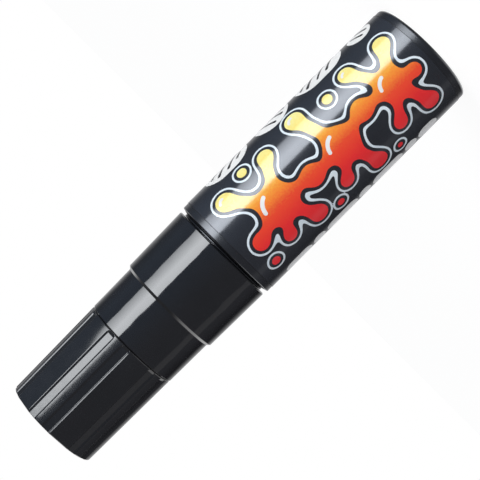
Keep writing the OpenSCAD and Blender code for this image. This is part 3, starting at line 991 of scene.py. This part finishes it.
def sky_mix(share, a, b):
    """Mixes two colours; either can be a plain colour."""
    node = sky.nodes.new("ShaderNodeMix")
    node.data_type = "RGBA"
    sky.links.new(share, node.inputs["Factor"])
    for socket, value in zip(node.inputs[MIX_COLOURS], (a, b)):
        if isinstance(value, tuple):
            socket.default_value = (*value, 1)
        else:
            sky.links.new(value, socket)
    return node.outputs[MIX_RESULT]


def sky_ramp(value, low, high):
    """Soft step from 0 to 1 between low and high."""
    node = sky.nodes.new("ShaderNodeMapRange")
    node.interpolation_type = "SMOOTHSTEP"
    node.inputs["From Min"].default_value = low
    node.inputs["From Max"].default_value = high
    sky.links.new(value, node.inputs["Value"])
    return node.outputs["Result"]


# The backdrop stands behind the marker; past the ends of the marker it is whiter and comes further
# forward, mostly on the side away from the strip
steep = sky_math("ABSOLUTE", to_z, 0.0)
tilt = sky_ramp(steep, *TILT_RANGE)
lean = sky_math("ADD", sky_math("MULTIPLY", to_x, LEAN_SLOPE), LEAN_LEVEL)
reach = sky_math("ADD", to_y, sky_math("MULTIPLY", tilt, lean))
reach = sky_math("ADD", reach, sky_math("MULTIPLY", to_x, REACH_SKEW))
# The room is bluer on the strip's side and darker towards the backdrop; the boards stand past the ends
# of the marker, bright on the far side
strip_side = sky_ramp(to_x, *STRIP_SIDE_RANGE)
room = sky_mix(strip_side, ROOM_FAR, ROOM_STRIP)
gloom = sky_mix(strip_side, GLOOM_FAR, GLOOM_STRIP)
room = sky_mix(sky_ramp(to_y, *GLOOM_RANGE), room, gloom)
far_side = sky_ramp(sky_math("MULTIPLY", to_x, -1.0), *FAR_SIDE_RANGE)
boards = sky_mix(far_side, BOARD_DIM, BOARD_BRIGHT)
room = sky_mix(sky_ramp(steep, *BOARD_RANGE), room, boards)
backdrop = sky_mix(tilt, BACKDROP_LEVEL, BACKDROP_STEEP)
mirrored = sky_mix(sky_ramp(reach, *BACKDROP_RANGE), room, backdrop)
seen = sky_math("MAXIMUM", path.outputs["Is Glossy Ray"], path.outputs["Is Transmission Ray"])
lit = sky_mix(seen, AMBIENT, mirrored)
shown = sky_mix(path.outputs["Is Camera Ray"], lit, WHITE)
glow = sky.nodes.new("ShaderNodeBackground")
sky.links.new(shown, glow.inputs["Color"])
output = sky.nodes.new("ShaderNodeOutputWorld")
sky.links.new(glow.outputs["Background"], output.inputs["Surface"])


# White floor that keeps a faint shadow; lamps and reflections pass it, so the strip shows down to the base

FLOOR_HALF = 3.0
FLOOR_DROP = 0.00005
FLOOR_COLOUR = (0.9, 0.9, 0.9)
FLOOR_GLOW = 1.1
FLOOR_GLOW_SHARE = 0.82

floor_mesh = bpy.data.meshes.new("floor")
floor_corners = [(x * FLOOR_HALF, y * FLOOR_HALF, 0) for x, y in ((-1, -1), (1, -1), (1, 1), (-1, 1))]
floor_mesh.from_pydata(floor_corners, [], [(0, 1, 2, 3)])
floor = bpy.data.objects.new("floor", floor_mesh)
bpy.context.scene.collection.objects.link(floor)
floor.location.z = -FLOOR_DROP
floor.visible_glossy = False
floor.visible_shadow = False
floor_material = bpy.data.materials.new("floor_white")
floor_material.use_nodes = True
floor_tree = floor_material.node_tree
floor_tree.nodes.clear()
floor_path = floor_tree.nodes.new("ShaderNodeLightPath")
floor_share = floor_tree.nodes.new("ShaderNodeMath")
floor_share.operation = "MULTIPLY"
floor_share.inputs[1].default_value = FLOOR_GLOW_SHARE
floor_tree.links.new(floor_path.outputs["Is Camera Ray"], floor_share.inputs[0])
floor_matt = floor_tree.nodes.new("ShaderNodeBsdfDiffuse")
floor_matt.inputs["Color"].default_value = (*FLOOR_COLOUR, 1)
floor_glow = floor_tree.nodes.new("ShaderNodeEmission")
floor_glow.inputs["Strength"].default_value = FLOOR_GLOW
floor_mix = floor_tree.nodes.new("ShaderNodeMixShader")
floor_tree.links.new(floor_share.outputs["Value"], floor_mix.inputs["Fac"])
floor_tree.links.new(floor_matt.outputs["BSDF"], floor_mix.inputs[1])
floor_tree.links.new(floor_glow.outputs["Emission"], floor_mix.inputs[2])
floor_out = floor_tree.nodes.new("ShaderNodeOutputMaterial")
floor_tree.links.new(floor_mix.outputs["Shader"], floor_out.inputs["Surface"])
floor_mesh.materials.append(floor_material)

bpy.context.scene.view_settings.view_transform = "Standard"
